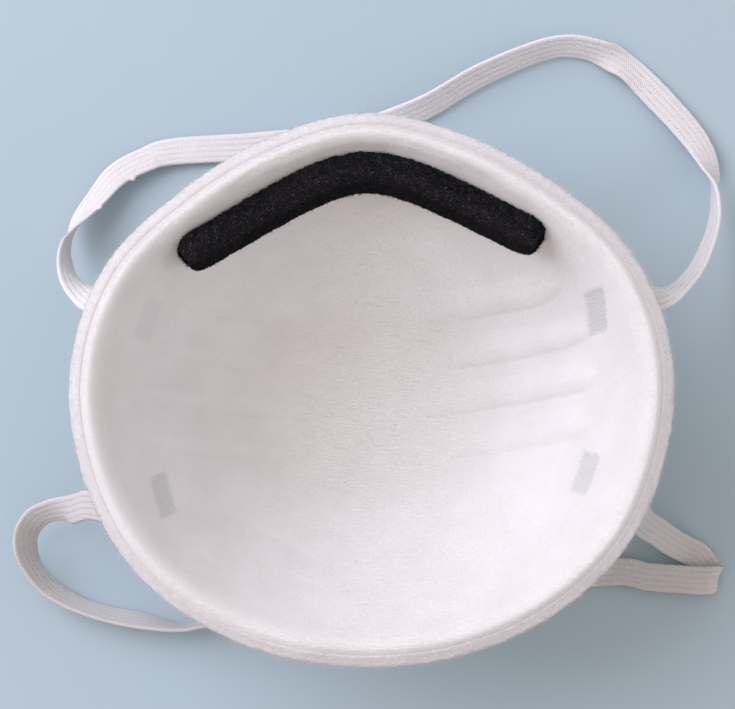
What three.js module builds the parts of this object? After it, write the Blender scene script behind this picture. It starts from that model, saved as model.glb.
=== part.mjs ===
// A moulded cup respirator, lying on its front with the hollow side up.
// Lengths are millimetres. +Z points out of the hollow, +Y towards the nose, and z = 0 is the flat front
// panel that the cup rests on. Angles around the cup are counted from the nose, the same on both sides.

import * as THREE from 'three';

// ---------------------------------------------------------------- driving dimensions

const RIM_HEIGHT = 50; // crest of the lip at the cheeks
const RIM_SADDLE = 2.5; // how much lower the crest is at the nose and the chin
const PANEL_Y = -5; // centre of the front panel, a little towards the chin
const PANEL_FRACTION = 0.2; // share of the way to the lip that stays flat

const SHELL_THICKNESS = 1.5;
const LINER_THICKNESS = 1.0;
const GAP = 0.3; // left between every two pieces that touch
const WALL = SHELL_THICKNESS + GAP + LINER_THICKNESS;

const LIP_INSET = 7.4; // from the flange's edge in to where the lip meets the straight wall
const LIP_DROP = 3.0; // how far below the crest that is

const FLANGE_TOP = 1.2; // drops below the crest
const FLANGE_BOTTOM = 2.25;
const FLANGE_INNER = 2.6; // inset of the step that the liner's edge lies against

// Radius of the flange's edge, measured from the panel's centre.
const RIM_RADII = [
  { angle: 0, radius: 66.0 },
  { angle: 20, radius: 64.4 },
  { angle: 40, radius: 64.4 },
  { angle: 60, radius: 66.9 },
  { angle: 80, radius: 66.9 },
  { angle: 100, radius: 64.9 },
  { angle: 120, radius: 62.9 },
  { angle: 140, radius: 59.6 },
  { angle: 160, radius: 57.1 },
  { angle: 180, radius: 56.0 },
];

// How full the wall's curve is: a low power is a straight slope, a high one a round bowl.
const WALL_CURVES = [
  { angle: 0, power: 1.5 },
  { angle: 30, power: 1.7 },
  { angle: 60, power: 2.3 },
  { angle: 90, power: 2.6 },
  { angle: 120, power: 2.5 },
  { angle: 150, power: 2.1 },
  { angle: 180, power: 1.9 },
];

// The lip, ring by ring towards the weld groove. lean says how much of the wall's own slope the thickness
// still follows, liner is the liner's thickness there and wall the whole wall's. The last two rings turn down
// into the groove, and the shell's back runs straight past them into the flange.
const LIP_RINGS = [
  { inset: 6.4, drop: 1.4, lean: 0.75, liner: 1.0, wall: 2.8 },
  { inset: 5.3, drop: 0.35, lean: 0.45, liner: 0.95, wall: 2.5 },
  { inset: 4.3, drop: 0.0, lean: 0.15, liner: 0.85, wall: 2.2 },
  { inset: 3.4, drop: 0.5, lean: -0.5, liner: 0.6 },
  { inset: 2.9, drop: 1.3, lean: -0.5, liner: 0.3 },
];

// Where the wall has a ring of points, as shares of the way from the panel's centre to the lip. The faces
// that show have more of them than the faces that lie against each other.
const FACE_SHARES = [0.2, 0.32, 0.44, 0.55, 0.65, 0.73, 0.79, 0.84, 0.88, 0.94, 1];
const HIDDEN_SHARES = [0.2, 0.32, 0.44, 0.56, 0.68, 0.8, 0.91, 1];

// Spokes around one half of the cup: close together where the ribs are.
const SPOKE_SECTORS = [
  { from: 0, to: 50, count: 8 },
  { from: 50, to: 120, count: 22 },
  { from: 120, to: 180, count: 7 },
];

// The ribs: raised inside, hollow outside. Each has a steep edge towards the chin and a soft one above it.
const RIB_PITCH = 10.8;
const RIB_FIRST_Y = 14; // steep edge of the uppermost rib, at the middle of the cup
const RIB_CURVE = 0.0025; // how the ribs rise towards the cheeks, per mm, squared
const RIB_HEIGHT = 1.1;
const RIB_GROOVE_SHARE = 0.6; // depth outside, as a share of the height inside
const RIB_STRENGTHS = [1, 1, 1, 0.85, 0.4]; // from the nose down
const RIB_STEEP_END = 0.16; // shares of the pitch
const RIB_SOFT_START = 0.3;
const RIB_SOFT_END = 0.72;
const RIB_FADE_X = [8, 32]; // they grow out of the smooth middle over this stretch
const RIB_TIP_SHARE = [0.8, 0.88]; // and end in rounded tips here

const FOAM = {
  middleX: -1.2, // the strip sits a little off the middle, the crown of its arch on it
  apexY: 50.2,
  halfSpan: 41,
  armSlope: 0.6,
  apexRounding: 14,
  width: 9,
  thickness: 5.5,
  chamfer: 1.4,
  stations: 26,
};

const FOAM_GAP = 0.4; // on paper: its flat facets come a little nearer to the liner's

const BAND = { width: 6.8, thickness: 1.0, chamfer: 0.3 };
const BAND_STEPS_PER_ROW = 2;

// The headbands' middle lines, from weld to weld. across is the compass direction of the band's width,
// counted from +X towards +Y, and lift is how far its one edge is turned up from lying flat, in degrees.
const UPPER_BAND_ROUTE = [
  { x: -50.9, y: 17.7, z: 30.6, across: 65, lift: 0 },
  { x: -52.6, y: 18.5, z: 34.2, across: 65, lift: 0 },
  { x: -54.3, y: 19.3, z: 37.7, across: 65, lift: 0 },
  { x: -57.3, y: 20.5, z: 40.3, across: 65, lift: 0 },
  { x: -60.8, y: 21.9, z: 39.8, across: 62, lift: -9 },
  { x: -63.3, y: 23, z: 36, across: 28, lift: -17 },
  { x: -67.1, y: 26.1, z: 28, across: -12, lift: -25 },
  { x: -69.9, y: 30.1, z: 19, across: -46, lift: -28 },
  { x: -70.9, y: 34.1, z: 12.5, across: -71, lift: -34 },
  { x: -70.5, y: 37.4, z: 8.6, across: -108, lift: -51 },
  { x: -68.7, y: 42.2, z: 5.6, across: 178, lift: -51 },
  { x: -64.2, y: 47.8, z: 3.8, across: 148, lift: -36 },
  { x: -59.5, y: 53, z: 2.9, across: 130, lift: -24 },
  { x: -52.8, y: 56.4, z: 2.1, across: 113, lift: -23 },
  { x: -45.5, y: 58.3, z: 1.4, across: 99, lift: -12 },
  { x: -25, y: 59, z: 0.9, across: 92, lift: 0 },
  { x: -3, y: 61, z: 0.9, across: 104, lift: 6 },
  { x: 14.1, y: 66.4, z: 2.5, across: 115, lift: 34 },
  { x: 28.1, y: 73.8, z: 2.8, across: 116, lift: 40 },
  { x: 42.1, y: 79.2, z: 3.1, across: 107, lift: 45 },
  { x: 50.1, y: 80.4, z: 3.1, across: 87, lift: 45 },
  { x: 57.1, y: 78.9, z: 2.6, across: 65, lift: 39 },
  { x: 63.8, y: 75.4, z: 1.5, across: 54, lift: -15 },
  { x: 69.9, y: 69.3, z: 1.2, across: 42, lift: -1 },
  { x: 77.5, y: 60.3, z: 2.2, across: 36, lift: -9 },
  { x: 81.2, y: 54.3, z: 3.6, across: 19, lift: -23 },
  { x: 82.8, y: 49.2, z: 5.4, across: -12, lift: -41 },
  { x: 83, y: 44.1, z: 8, across: -87, lift: -61 },
  { x: 82.8, y: 40, z: 10.5, across: -113, lift: -57 },
  { x: 81.4, y: 34.7, z: 14, across: -133, lift: -49 },
  { x: 77.7, y: 28.1, z: 21, across: -149, lift: -42 },
  { x: 73.6, y: 23.3, z: 28, across: -166, lift: -37 },
  { x: 68.9, y: 20, z: 35, across: 170, lift: -36 },
  { x: 64.3, y: 18.5, z: 39.5, across: 116, lift: -25 },
  { x: 59, y: 18.4, z: 41, across: 114, lift: -3 },
  { x: 55.6, y: 17.6, z: 38.6, across: 114, lift: 0 },
  { x: 53.9, y: 16.9, z: 35.1, across: 114, lift: 0 },
  { x: 52.1, y: 16.2, z: 31.5, across: 114, lift: 0 },
];

const LOWER_BAND_ROUTE = [
  { x: -48.9, y: -22.9, z: 28.3, across: 116, lift: 0 },
  { x: -50.6, y: -23.6, z: 31.9, across: 116, lift: 0 },
  { x: -52.3, y: -24.3, z: 35.4, across: 115, lift: 0 },
  { x: -55.4, y: -25, z: 37.9, across: 110, lift: 0 },
  { x: -59.6, y: -24.8, z: 37, across: 102, lift: -2 },
  { x: -65.2, y: -24.2, z: 32.5, across: 93, lift: -1 },
  { x: -69.9, y: -25.6, z: 25, across: 102, lift: 0 },
  { x: -74.2, y: -26.1, z: 18, across: 128, lift: 18 },
  { x: -79.4, y: -27.8, z: 12, across: 148, lift: 25 },
  { x: -82.8, y: -31.4, z: 8.5, across: 174, lift: 33 },
  { x: -83.7, y: -35.5, z: 6.6, across: -160, lift: 39 },
  { x: -82.6, y: -40.2, z: 5, across: -138, lift: 51 },
  { x: -79.4, y: -45, z: 4, across: -127, lift: 56 },
  { x: -75.2, y: -48.3, z: 3.6, across: -119, lift: 62 },
  { x: -70.1, y: -50.8, z: 3.7, across: -113, lift: 65 },
  { x: -64.4, y: -52.7, z: 3.7, across: -105, lift: 64 },
  { x: -56.8, y: -54.4, z: 3.7, across: -103, lift: 64 },
  { x: -47.8, y: -56.3, z: 3.8, across: -101, lift: 84 },
  { x: -40.5, y: -55.6, z: 3.9, across: 95, lift: 90 },
  { x: -16, y: -53.4, z: 3.4, across: 96, lift: 58 },
  { x: 12, y: -50, z: 2.2, across: 96, lift: 24 },
  { x: 36, y: -47.8, z: 1.5, across: 96, lift: 6 },
  { x: 57.2, y: -46.4, z: 2, across: 90, lift: 3 },
  { x: 65.6, y: -47.9, z: 2.7, across: 82, lift: 0 },
  { x: 72.7, y: -48.6, z: 3.3, across: 84, lift: 0 },
  { x: 77.3, y: -49.1, z: 3.4, across: 85, lift: 0 },
  { x: 80.4, y: -49, z: 3.3, across: 78, lift: 0 },
  { x: 81.7, y: -48.5, z: 2.1, across: 72, lift: 0 },
  { x: 80.3, y: -47.5, z: 0.9, across: 63, lift: 0 },
  { x: 77.6, y: -43.5, z: 0.9, across: 45, lift: 0 },
  { x: 74.2, y: -41.5, z: 1.6, across: 59, lift: 0 },
  { x: 70.4, y: -39.1, z: 4.4, across: 56, lift: 0 },
  { x: 66.2, y: -36.1, z: 11.5, across: 55, lift: 0 },
  { x: 62.1, y: -33.2, z: 21, across: 53, lift: 0 },
  { x: 60.2, y: -29.8, z: 31, across: 59, lift: 0 },
  { x: 57.8, y: -26.2, z: 37, across: 64, lift: 0 },
  { x: 54.7, y: -23.8, z: 37.4, across: 66, lift: 0 },
  { x: 52.5, y: -22.6, z: 34.4, across: 66, lift: 0 },
  { x: 50.7, y: -21.8, z: 30.8, across: 66, lift: 0 },
  { x: 49, y: -21, z: 27.2, across: 66, lift: 0 },
];

// ---------------------------------------------------------------- small helpers

const RADIAN = Math.PI / 180;

const smoothstep = (start, end, value) => THREE.MathUtils.smoothstep(value, start, end);
const fromAxis = (point) => Math.hypot(point.x, point.y);

// A smooth curve from b to c as t goes from 0 to 1, with a and d the values before and after.
function catmullRom(t, a, b, c, d) {
  const square = 2 * a - 5 * b + 4 * c - d;
  const cube = 3 * b - 3 * c + d - a;
  return b + 0.5 * t * (c - a + t * (square + t * cube));
}

// A smooth curve through a table's evenly spaced rows, mirrored at both ends.
function alongTable(rows, column, angle) {
  const step = rows[1].angle - rows[0].angle;
  const last = rows.length - 1;
  const index = Math.min(Math.floor(angle / step), last - 1);
  const t = angle / step - index;
  const row = (i) => rows[last - Math.abs(last - Math.abs(i))][column];
  return catmullRom(t, row(index - 1), row(index), row(index + 1), row(index + 2));
}

// A closed body from rings with equally many points, each end closed by a fan to its middle point. Each
// quad is cut from its corner nearest the vertical axis, so that faces which lie together are cut alike.
function skinRings(rings, startPoint, endPoint) {
  const count = rings[0].length;
  const points = [startPoint, ...rings.flat(), endPoint];
  const faces = [];
  const at = (ring, k) => 1 + ring * count + (k % count);
  for (let k = 0; k < count; k += 1) {
    faces.push(0, at(0, k), at(0, k + 1));
    faces.push(points.length - 1, at(rings.length - 1, k + 1), at(rings.length - 1, k));
  }
  for (let ring = 0; ring < rings.length - 1; ring += 1) {
    for (let k = 0; k < count; k += 1) {
      const [a, b, c, d] = [at(ring, k), at(ring + 1, k), at(ring + 1, k + 1), at(ring, k + 1)];
      const fromFirst = fromAxis(points[a]) < fromAxis(points[b]);
      faces.push(...(fromFirst ? [a, b, c, a, c, d] : [a, b, d, b, c, d]));
    }
  }
  const geometry = new THREE.BufferGeometry().setFromPoints(points);
  geometry.setIndex(faces);
  geometry.computeVertexNormals();
  return geometry;
}

function middleOf(points) {
  const middle = new THREE.Vector3();
  points.forEach((point) => middle.add(point));
  return middle.divideScalar(points.length);
}

// ---------------------------------------------------------------- the cup's form

const halfTurn = (angle) => Math.abs(Math.atan2(Math.sin(angle), Math.cos(angle))) / RADIAN;
const rimRadius = (angle) => alongTable(RIM_RADII, 'radius', halfTurn(angle));
const crestHeight = (angle) => RIM_HEIGHT - RIM_SADDLE * Math.cos(angle) ** 2;

// The wall's height at a share of the way to the lip, and its slope there against the horizontal.
function wallProfile(angle, share) {
  const power = alongTable(WALL_CURVES, 'power', halfTurn(angle));
  const rise = crestHeight(angle) - LIP_DROP - WALL;
  const reach = rimRadius(angle) - LIP_INSET;
  const climb = Math.max(0, (share - PANEL_FRACTION) / (1 - PANEL_FRACTION));
  const steepness = (rise * power * climb ** (power - 1)) / (reach * (1 - PANEL_FRACTION));
  return { height: WALL + rise * climb ** power, slope: climb > 0 ? Math.atan(steepness) : 0 };
}

const outward = (angle) => new THREE.Vector3(Math.sin(angle), Math.cos(angle), 0);

// Unit vector out of a wall of this slope, into the hollow.
function inward(angle, slope) {
  return outward(angle).multiplyScalar(-Math.sin(slope)).setZ(Math.cos(slope));
}

function ribHeight(x, y, share) {
  const place = (y - RIB_CURVE * x * x - RIB_FIRST_Y) / RIB_PITCH;
  const strength = RIB_STRENGTHS[-Math.floor(place)] ?? 0;
  const across = place - Math.floor(place);
  const steepEdge = smoothstep(0, RIB_STEEP_END, across);
  const softEdge = 1 - smoothstep(RIB_SOFT_START, RIB_SOFT_END, across);
  const grown = smoothstep(...RIB_FADE_X, Math.abs(x)) * (1 - smoothstep(...RIB_TIP_SHARE, share));
  return RIB_HEIGHT * strength * steepEdge * softEdge * grown;
}

// A point of the wall, sunk below the liner's inner face and raised by a share of the rib there.
function wallPoint(angle, share, sunk, ribShare) {
  const { height, slope } = wallProfile(angle, share);
  const point = outward(angle).multiplyScalar(share * (rimRadius(angle) - LIP_INSET));
  point.y += PANEL_Y;
  point.z = height;
  const raised = ribShare * ribHeight(point.x, point.y, share) - sunk;
  return point.addScaledVector(inward(angle, slope), raised);
}

function rimPoint(angle, inset, drop) {
  const point = outward(angle).multiplyScalar(rimRadius(angle) - inset);
  point.y += PANEL_Y;
  point.z = crestHeight(angle) - drop;
  return point;
}

function lipPoint(angle, ring, sunk) {
  const slope = wallProfile(angle, 1).slope * ring.lean;
  return rimPoint(angle, ring.inset, ring.drop).addScaledVector(inward(angle, slope), -sunk);
}

function spokeAngles() {
  const half = SPOKE_SECTORS.flatMap(({ from, to, count }) =>
    Array.from({ length: count }, (_, k) => (from + ((to - from) * k) / count) * RADIAN));
  const otherHalf = half.slice(1).map((angle) => -angle).reverse();
  return [...half, Math.PI, ...otherHalf].reverse(); // counter-clockwise, seen from above
}

const SPOKES = spokeAngles();
const ringOf = (pointAt) => SPOKES.map(pointAt);
const wallRings = (shares, sunk, ribShare) =>
  shares.map((share) => ringOf((angle) => wallPoint(angle, share, sunk, ribShare)));
const lipRings = (sunkAt, rings = LIP_RINGS) =>
  rings.map((ring) => ringOf((angle) => lipPoint(angle, ring, sunkAt(ring))));
const panelPoint = (sunk) => new THREE.Vector3(0, PANEL_Y, WALL - sunk);

function linerGeometry() {
  const face = [...wallRings(FACE_SHARES, 0, 1), ...lipRings(() => 0)];
  const back = [...wallRings(HIDDEN_SHARES, LINER_THICKNESS, 0), ...lipRings((ring) => ring.liner)];
  return skinRings([...face, ...back.reverse()], panelPoint(0), panelPoint(LINER_THICKNESS));
}

function shellGeometry() {
  const sunk = LINER_THICKNESS + GAP;
  const step = LIP_RINGS.at(-1);
  const slot = step.drop + step.liner + GAP;
  const edge = 0.3;
  const face = [...wallRings(HIDDEN_SHARES, sunk, 0), ...lipRings((ring) => ring.liner + GAP)];
  const flange = [
    [FLANGE_INNER, slot],
    [FLANGE_INNER, FLANGE_TOP],
    [edge, FLANGE_TOP],
    [0, FLANGE_TOP + edge],
    [0, FLANGE_BOTTOM - edge],
    [edge, FLANGE_BOTTOM],
  ].map(([inset, drop]) => ringOf((angle) => rimPoint(angle, inset, drop)));
  const back = [
    ...wallRings(FACE_SHARES, WALL, RIB_GROOVE_SHARE),
    ...lipRings((ring) => ring.wall, LIP_RINGS.filter((ring) => ring.wall)),
  ];
  return skinRings([...face, ...flange, ...back.reverse()], panelPoint(sunk), panelPoint(WALL));
}

// ---------------------------------------------------------------- the nose foam

// The point of the liner's face above a place in plan, and the way out of it.
function faceAt(x, y) {
  const angle = Math.atan2(x, y - PANEL_Y);
  const share = Math.hypot(x, y - PANEL_Y) / (rimRadius(angle) - LIP_INSET);
  const { height, slope } = wallProfile(angle, share);
  return { point: new THREE.Vector3(x, y, height), normal: inward(angle, slope) };
}

function foamPlace(offset) {
  const x = FOAM.middleX + offset;
  const bend = Math.hypot(x, FOAM.apexRounding) - FOAM.apexRounding;
  return faceAt(x, FOAM.apexY - FOAM.armSlope * bend);
}

function foamSection(offset) {
  const { point, normal } = foamPlace(offset);
  const nudge = 0.5;
  const along = foamPlace(offset + nudge).point.sub(foamPlace(offset - nudge).point).normalize();
  const across = new THREE.Vector3().crossVectors(normal, along).normalize();
  const out = new THREE.Vector3().crossVectors(along, across);
  const half = FOAM.width / 2;
  return [
    [-half, 0],
    [0, 0],
    [half, 0],
    [half, FOAM.thickness - FOAM.chamfer],
    [half - FOAM.chamfer, FOAM.thickness],
    [-half + FOAM.chamfer, FOAM.thickness],
    [-half, FOAM.thickness - FOAM.chamfer],
  ].map(([side, height]) => {
    const aside = point.clone().addScaledVector(across, side);
    const back = faceAt(aside.x, aside.y);
    return back.point.addScaledVector(back.normal, FOAM_GAP).addScaledVector(out, height);
  });
}

function foamGeometry() {
  const sections = [];
  for (let k = 0; k <= FOAM.stations; k += 1) {
    sections.push(foamSection(FOAM.halfSpan * (1 - (2 * k) / FOAM.stations)));
  }
  return skinRings(sections, middleOf(sections[0]), middleOf(sections.at(-1)));
}

// ---------------------------------------------------------------- the headbands

// A flat band's middle line through its rows. It carries the direction of the width along with it.
class BandLine extends THREE.Curve {
  constructor(rows) {
    super();
    this.places = rows.map(({ x, y, z }) => new THREE.Vector3(x, y, z));
    this.widths = rows.map(({ across, lift }) => new THREE.Vector3(
      Math.cos(lift * RADIAN) * Math.cos(across * RADIAN),
      Math.cos(lift * RADIAN) * Math.sin(across * RADIAN),
      Math.sin(lift * RADIAN),
    ));
  }

  // Steps follow the rows, which are closer together at the fold.
  getUtoTmapping(u) {
    return u;
  }

  getPoint(t, target = new THREE.Vector3()) {
    return target.copy(this.between(this.places, t));
  }

  between(values, t) {
    const last = values.length - 1;
    const index = Math.min(Math.floor(t * last), last - 1);
    const [b, c] = [values[index], values[index + 1]];
    const a = values[index - 1] ?? b.clone().multiplyScalar(2).sub(c);
    const d = values[index + 2] ?? c.clone().multiplyScalar(2).sub(b);
    const mix = (axis) => catmullRom(t * last - index, a[axis], b[axis], c[axis], d[axis]);
    return new THREE.Vector3(mix('x'), mix('y'), mix('z'));
  }

  computeFrenetFrames(segments) {
    const frames = { tangents: [], normals: [], binormals: [] };
    for (let k = 0; k <= segments; k += 1) {
      const tangent = this.getTangent(k / segments);
      const width = this.between(this.widths, k / segments);
      width.addScaledVector(tangent, -width.dot(tangent)).normalize();
      frames.tangents.push(tangent);
      frames.normals.push(width);
      frames.binormals.push(new THREE.Vector3().crossVectors(tangent, width));
    }
    return frames;
  }
}

function bandSection() {
  const [w, h, c] = [BAND.width / 2, BAND.thickness / 2, BAND.chamfer];
  return new THREE.Shape([
    [-w, -h + c], [-w + c, -h], [w - c, -h], [w, -h + c],
    [w, h - c], [w - c, h], [-w + c, h], [-w, h - c],
  ].map(([x, y]) => new THREE.Vector2(x, y)));
}

function bandGeometry(rows) {
  return new THREE.ExtrudeGeometry(bandSection(), {
    extrudePath: new BandLine(rows),
    steps: BAND_STEPS_PER_ROW * (rows.length - 1),
    curveSegments: 1,
    bevelEnabled: false,
  });
}

// ---------------------------------------------------------------- the assembly

const material = (color, roughness) => new THREE.MeshStandardMaterial({ color, roughness, metalness: 0 });
const feltWhite = material(0xefedee, 0.95);
const linerWhite = material(0xf2f0f2, 0.95);
const foamBlack = material(0x17161a, 1.0);
const elasticWhite = material(0xeceaea, 0.85);

function piece(name, geometry, finish) {
  const mesh = new THREE.Mesh(geometry, finish);
  mesh.name = name;
  return mesh;
}

const respirator = new THREE.Group();
respirator.add(
  piece('outer_shell', shellGeometry(), feltWhite),
  piece('inner_liner', linerGeometry(), linerWhite),
  piece('nose_foam', foamGeometry(), foamBlack),
  piece('upper_headband', bandGeometry(UPPER_BAND_ROUTE), elasticWhite),
  piece('lower_headband', bandGeometry(LOWER_BAND_ROUTE), elasticWhite),
);

export default respirator;
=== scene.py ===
import math
import random

import bmesh
import bpy
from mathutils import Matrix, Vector, noise


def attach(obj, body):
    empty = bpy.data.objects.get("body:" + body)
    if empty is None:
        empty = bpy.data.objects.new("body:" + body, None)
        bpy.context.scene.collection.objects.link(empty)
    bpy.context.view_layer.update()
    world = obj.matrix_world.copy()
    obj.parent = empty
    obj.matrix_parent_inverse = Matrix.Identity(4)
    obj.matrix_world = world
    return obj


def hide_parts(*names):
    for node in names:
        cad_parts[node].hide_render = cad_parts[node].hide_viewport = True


# A moulded cup respirator lying on its front, hollow side up. Shapes are worked out in millimetres, with
# angles counted from the nose, and turned into metres as the last step. The headbands' routes, the grain of
# the finishes, the camera, the floor and the lamps are in metres.

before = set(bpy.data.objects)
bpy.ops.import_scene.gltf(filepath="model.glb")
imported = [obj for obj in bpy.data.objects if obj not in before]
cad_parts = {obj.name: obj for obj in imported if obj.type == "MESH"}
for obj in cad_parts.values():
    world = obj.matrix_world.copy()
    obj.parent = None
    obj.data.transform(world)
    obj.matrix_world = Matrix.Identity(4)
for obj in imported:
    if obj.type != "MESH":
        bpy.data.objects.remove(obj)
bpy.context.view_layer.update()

MM = 0.001
TURN = 2 * math.pi

# ------------------------------------------------------------------ named sizes

RIM_HEIGHT = 50.0
RIM_SADDLE = 2.5  # how far the rim dips at the nose and the chin
MEAN_RIM_RADIUS = 62.0
WAVER_RADIUS = 60.0  # of the ring on which the rim's slow rise and fall is drawn
PANEL_Y = -5.0  # middle of the flat front panel, and of the rim's polar table
PANEL_FRACTION = 0.2  # share of the way to the lip that is flat
LINER_THICKNESS = 1.0
GAP = 0.3  # between the liner's back and the shell
WALL = 2.8  # liner, gap and shell together
LIP_INSET = 7.4
LIP_DROP = 3.0

# Radius of the flange's edge every 20 degrees, and fullness of the wall's curve every 30, nose to chin.
RIM_RADII = (66.0, 64.4, 64.4, 66.9, 66.9, 64.9, 62.9, 59.6, 57.1, 56.0)
WALL_POWERS = (1.5, 1.7, 2.3, 2.6, 2.5, 2.1, 1.9)

# The lip from the wall to the weld groove: inset, drop, lean, depth of the liner's back, depth of the wall's.
LIP_ROWS = (
    (8.5, 4.8, 1.0, 1.0, 2.8),
    (7.4, 3.0, 1.0, 1.0, 2.8),
    (6.4, 1.4, 0.75, 1.0, 2.8),
    (5.3, 0.35, 0.45, 0.95, 2.5),
    (4.3, 0.0, 0.15, 0.85, 2.2),
    (3.4, 0.26, -0.2, 0.5, 1.7),
    (2.68, 0.64, -0.2, 0.12, 1.2),
)

# The pressed flange from the groove over its edge to its underside: inset, drop.
FLANGE_ROWS = (
    (2.68, 1.14),
    (2.72, 1.0),
    (2.68, 0.84),
    (2.5, 0.78),
    (2.1, 0.88),
    (1.6, 1.04),
    (1.0, 1.28),
    (0.5, 1.55),
    (0.14, 1.84),
    (0.02, 2.12),
    (0.2, 2.38),
    (0.7, 2.5),
    (1.6, 2.46),
    (2.6, 2.38),
)
WELDED_EDGE = (2.42, 0.84)  # where the liner's edge has been pressed into the flange: inset, drop
GROOVE_FILL = 0.26  # how far felt fills the groove between the left cheek and the chin

# Ribs pressed into both cheeks, nose to chin: the steep edge's y at the middle line, reach and strength.
RIB_ROWS = (
    (14.0, 43.7, 0.9),
    (2.5, 49.4, 1.0),
    (-8.2, 51.4, 1.0),
    (-18.6, 50.1, 0.95),
    (-29.0, 46.0, 0.35),
)
RIB_CURVE = 0.0025  # how the ribs rise towards the cheeks, per mm, squared
RIB_HEIGHT = 1.15
RIB_CREST = 3.2  # crest above the steep edge
RIB_SOFT_WIDTH = 5.0
RIB_TIP = 4.0
RIB_FADE_IN = (6, 33)  # distances from the middle line between which the ribs rise to full height
RIB_GROOVE_SHARE = 0.6  # how much of a rib shows outside, as a groove

# Where the bands are welded on: angle, share of the way to the lip, turn of the stamp's long side from the
# level towards the rim, how clearly it shows.
STAMPS = (
    (67.9, 0.920, -30.0, 1.0),
    (108.1, 0.885, 0.0, 0.8),
    (-110.1, 0.897, -18.0, 0.8),
    (-65.9, 0.912, 10.0, 0.3),
)
STAMP_LENGTH = 9.4
STAMP_WIDTH = 6.9
STAMP_DEPTH = 0.3
STAMP_LINE_PITCH = 0.85

# Soft creases in the lining: the way they run in plan, width, depth.
SOFT_CREASES = (
    (((-35.6, -27.2), (-29, -31.5), (-22.4, -34.7), (-15.5, -38.2)), 2.6, 0.22),
    (((-30, 44.5), (-22, 50.2), (-12, 53.6)), 2.2, 0.3),
    (((8, 54.4), (18, 50.8), (27, 45.6)), 2.4, 0.25),
    (((-46, 34), (-41, 39.5)), 2.0, 0.25),
    (((38, 40.5), (44, 34.5)), 2.0, 0.2),
)

FOAM_MIDDLE_X = -1.2
FOAM_APEX_Y = 50.2
FOAM_HALF_SPAN = 41.0
FOAM_ARM_SLOPE = 0.6
FOAM_BEND_RADIUS = 14.0
FOAM_WIDTH = 9.0
FOAM_THICKNESS = 5.5
FOAM_STANDOFF = 0.35  # of the foam's back from the lining
FOAM_END = 0.12  # share of each arm over which its end is rounded
FOAM_END_PINCH = (0.97, 0.84)  # how far the left and the right end draw in
FOAM_EDGE_ROUNDING = 0.36
FOAM_CUTS = (219, 23, 13)  # along, across and through the foam
PORE_SIZE = 0.62
PORE_DEPTH = 0.26

BAND_WIDTH = 6.8
BAND_THICKNESS = 1.0
BAND_CORDS = 5
BAND_STATIONS = 1300
BAND_SECTION_STEPS = 44
WELD_CENTRE = 4.2  # along the band from its end
WELD_LENGTH = 6.8
WELD_BAR_PITCH = 0.9
STITCH_PITCH = 0.55
EDGE_LOOP_PITCH = 0.62
EDGE_LOOP_DEPTH = 0.036  # as a share of half the width
UPPER_BAND_SEED = 1.7
LOWER_BAND_SEED = 6.4
# Share of painted shade over the whole lower band.
LOWER_BAND_SHADE_SHARE = 0.38
# Loops of thread pulled out of the upper band's edges: distance along it, edge, how far they stand out.
PULLED_LOOPS = ((25.4, 1, 0.35), (64.7, -1, 0.6), (76.7, -1, 0.75))
PULLED_LOOP_WIDTH = 0.6

KNURL_AROUND = 0.95  # pitch of the flange's pressed pattern round the rim
KNURL_ACROSS = 0.9

RIM_FIBRE_COUNT = 4500
FOAM_FIBRE_COUNT = 7000

# Unevenness of the surfaces, as ripples on top of each other: height, size of the bumps, seed.
LINER_RIPPLES = ((0.16, 13, 0.0), (0.06, 5, 3.1), (0.03, 2.2, 7.7))
SHELL_RIPPLES = ((0.08, 16, 2.2), (0.02, 3.0, 8.3))
RIM_RIPPLES = ((0.28, 26, 1.3), (0.1, 7, 4.4))
EDGE_RIPPLES_OUTWARD = ((0.2, 0.8, 6.1), (0.16, 2.4, 2.9))
EDGE_RIPPLES_UPWARD = ((0.25, 9, 9.4), (0.1, 1.3, 4.8))
FOAM_RIPPLES = ((0.16, 0.45, 3.3), (0.12, 3.1, 5.2))

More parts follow.
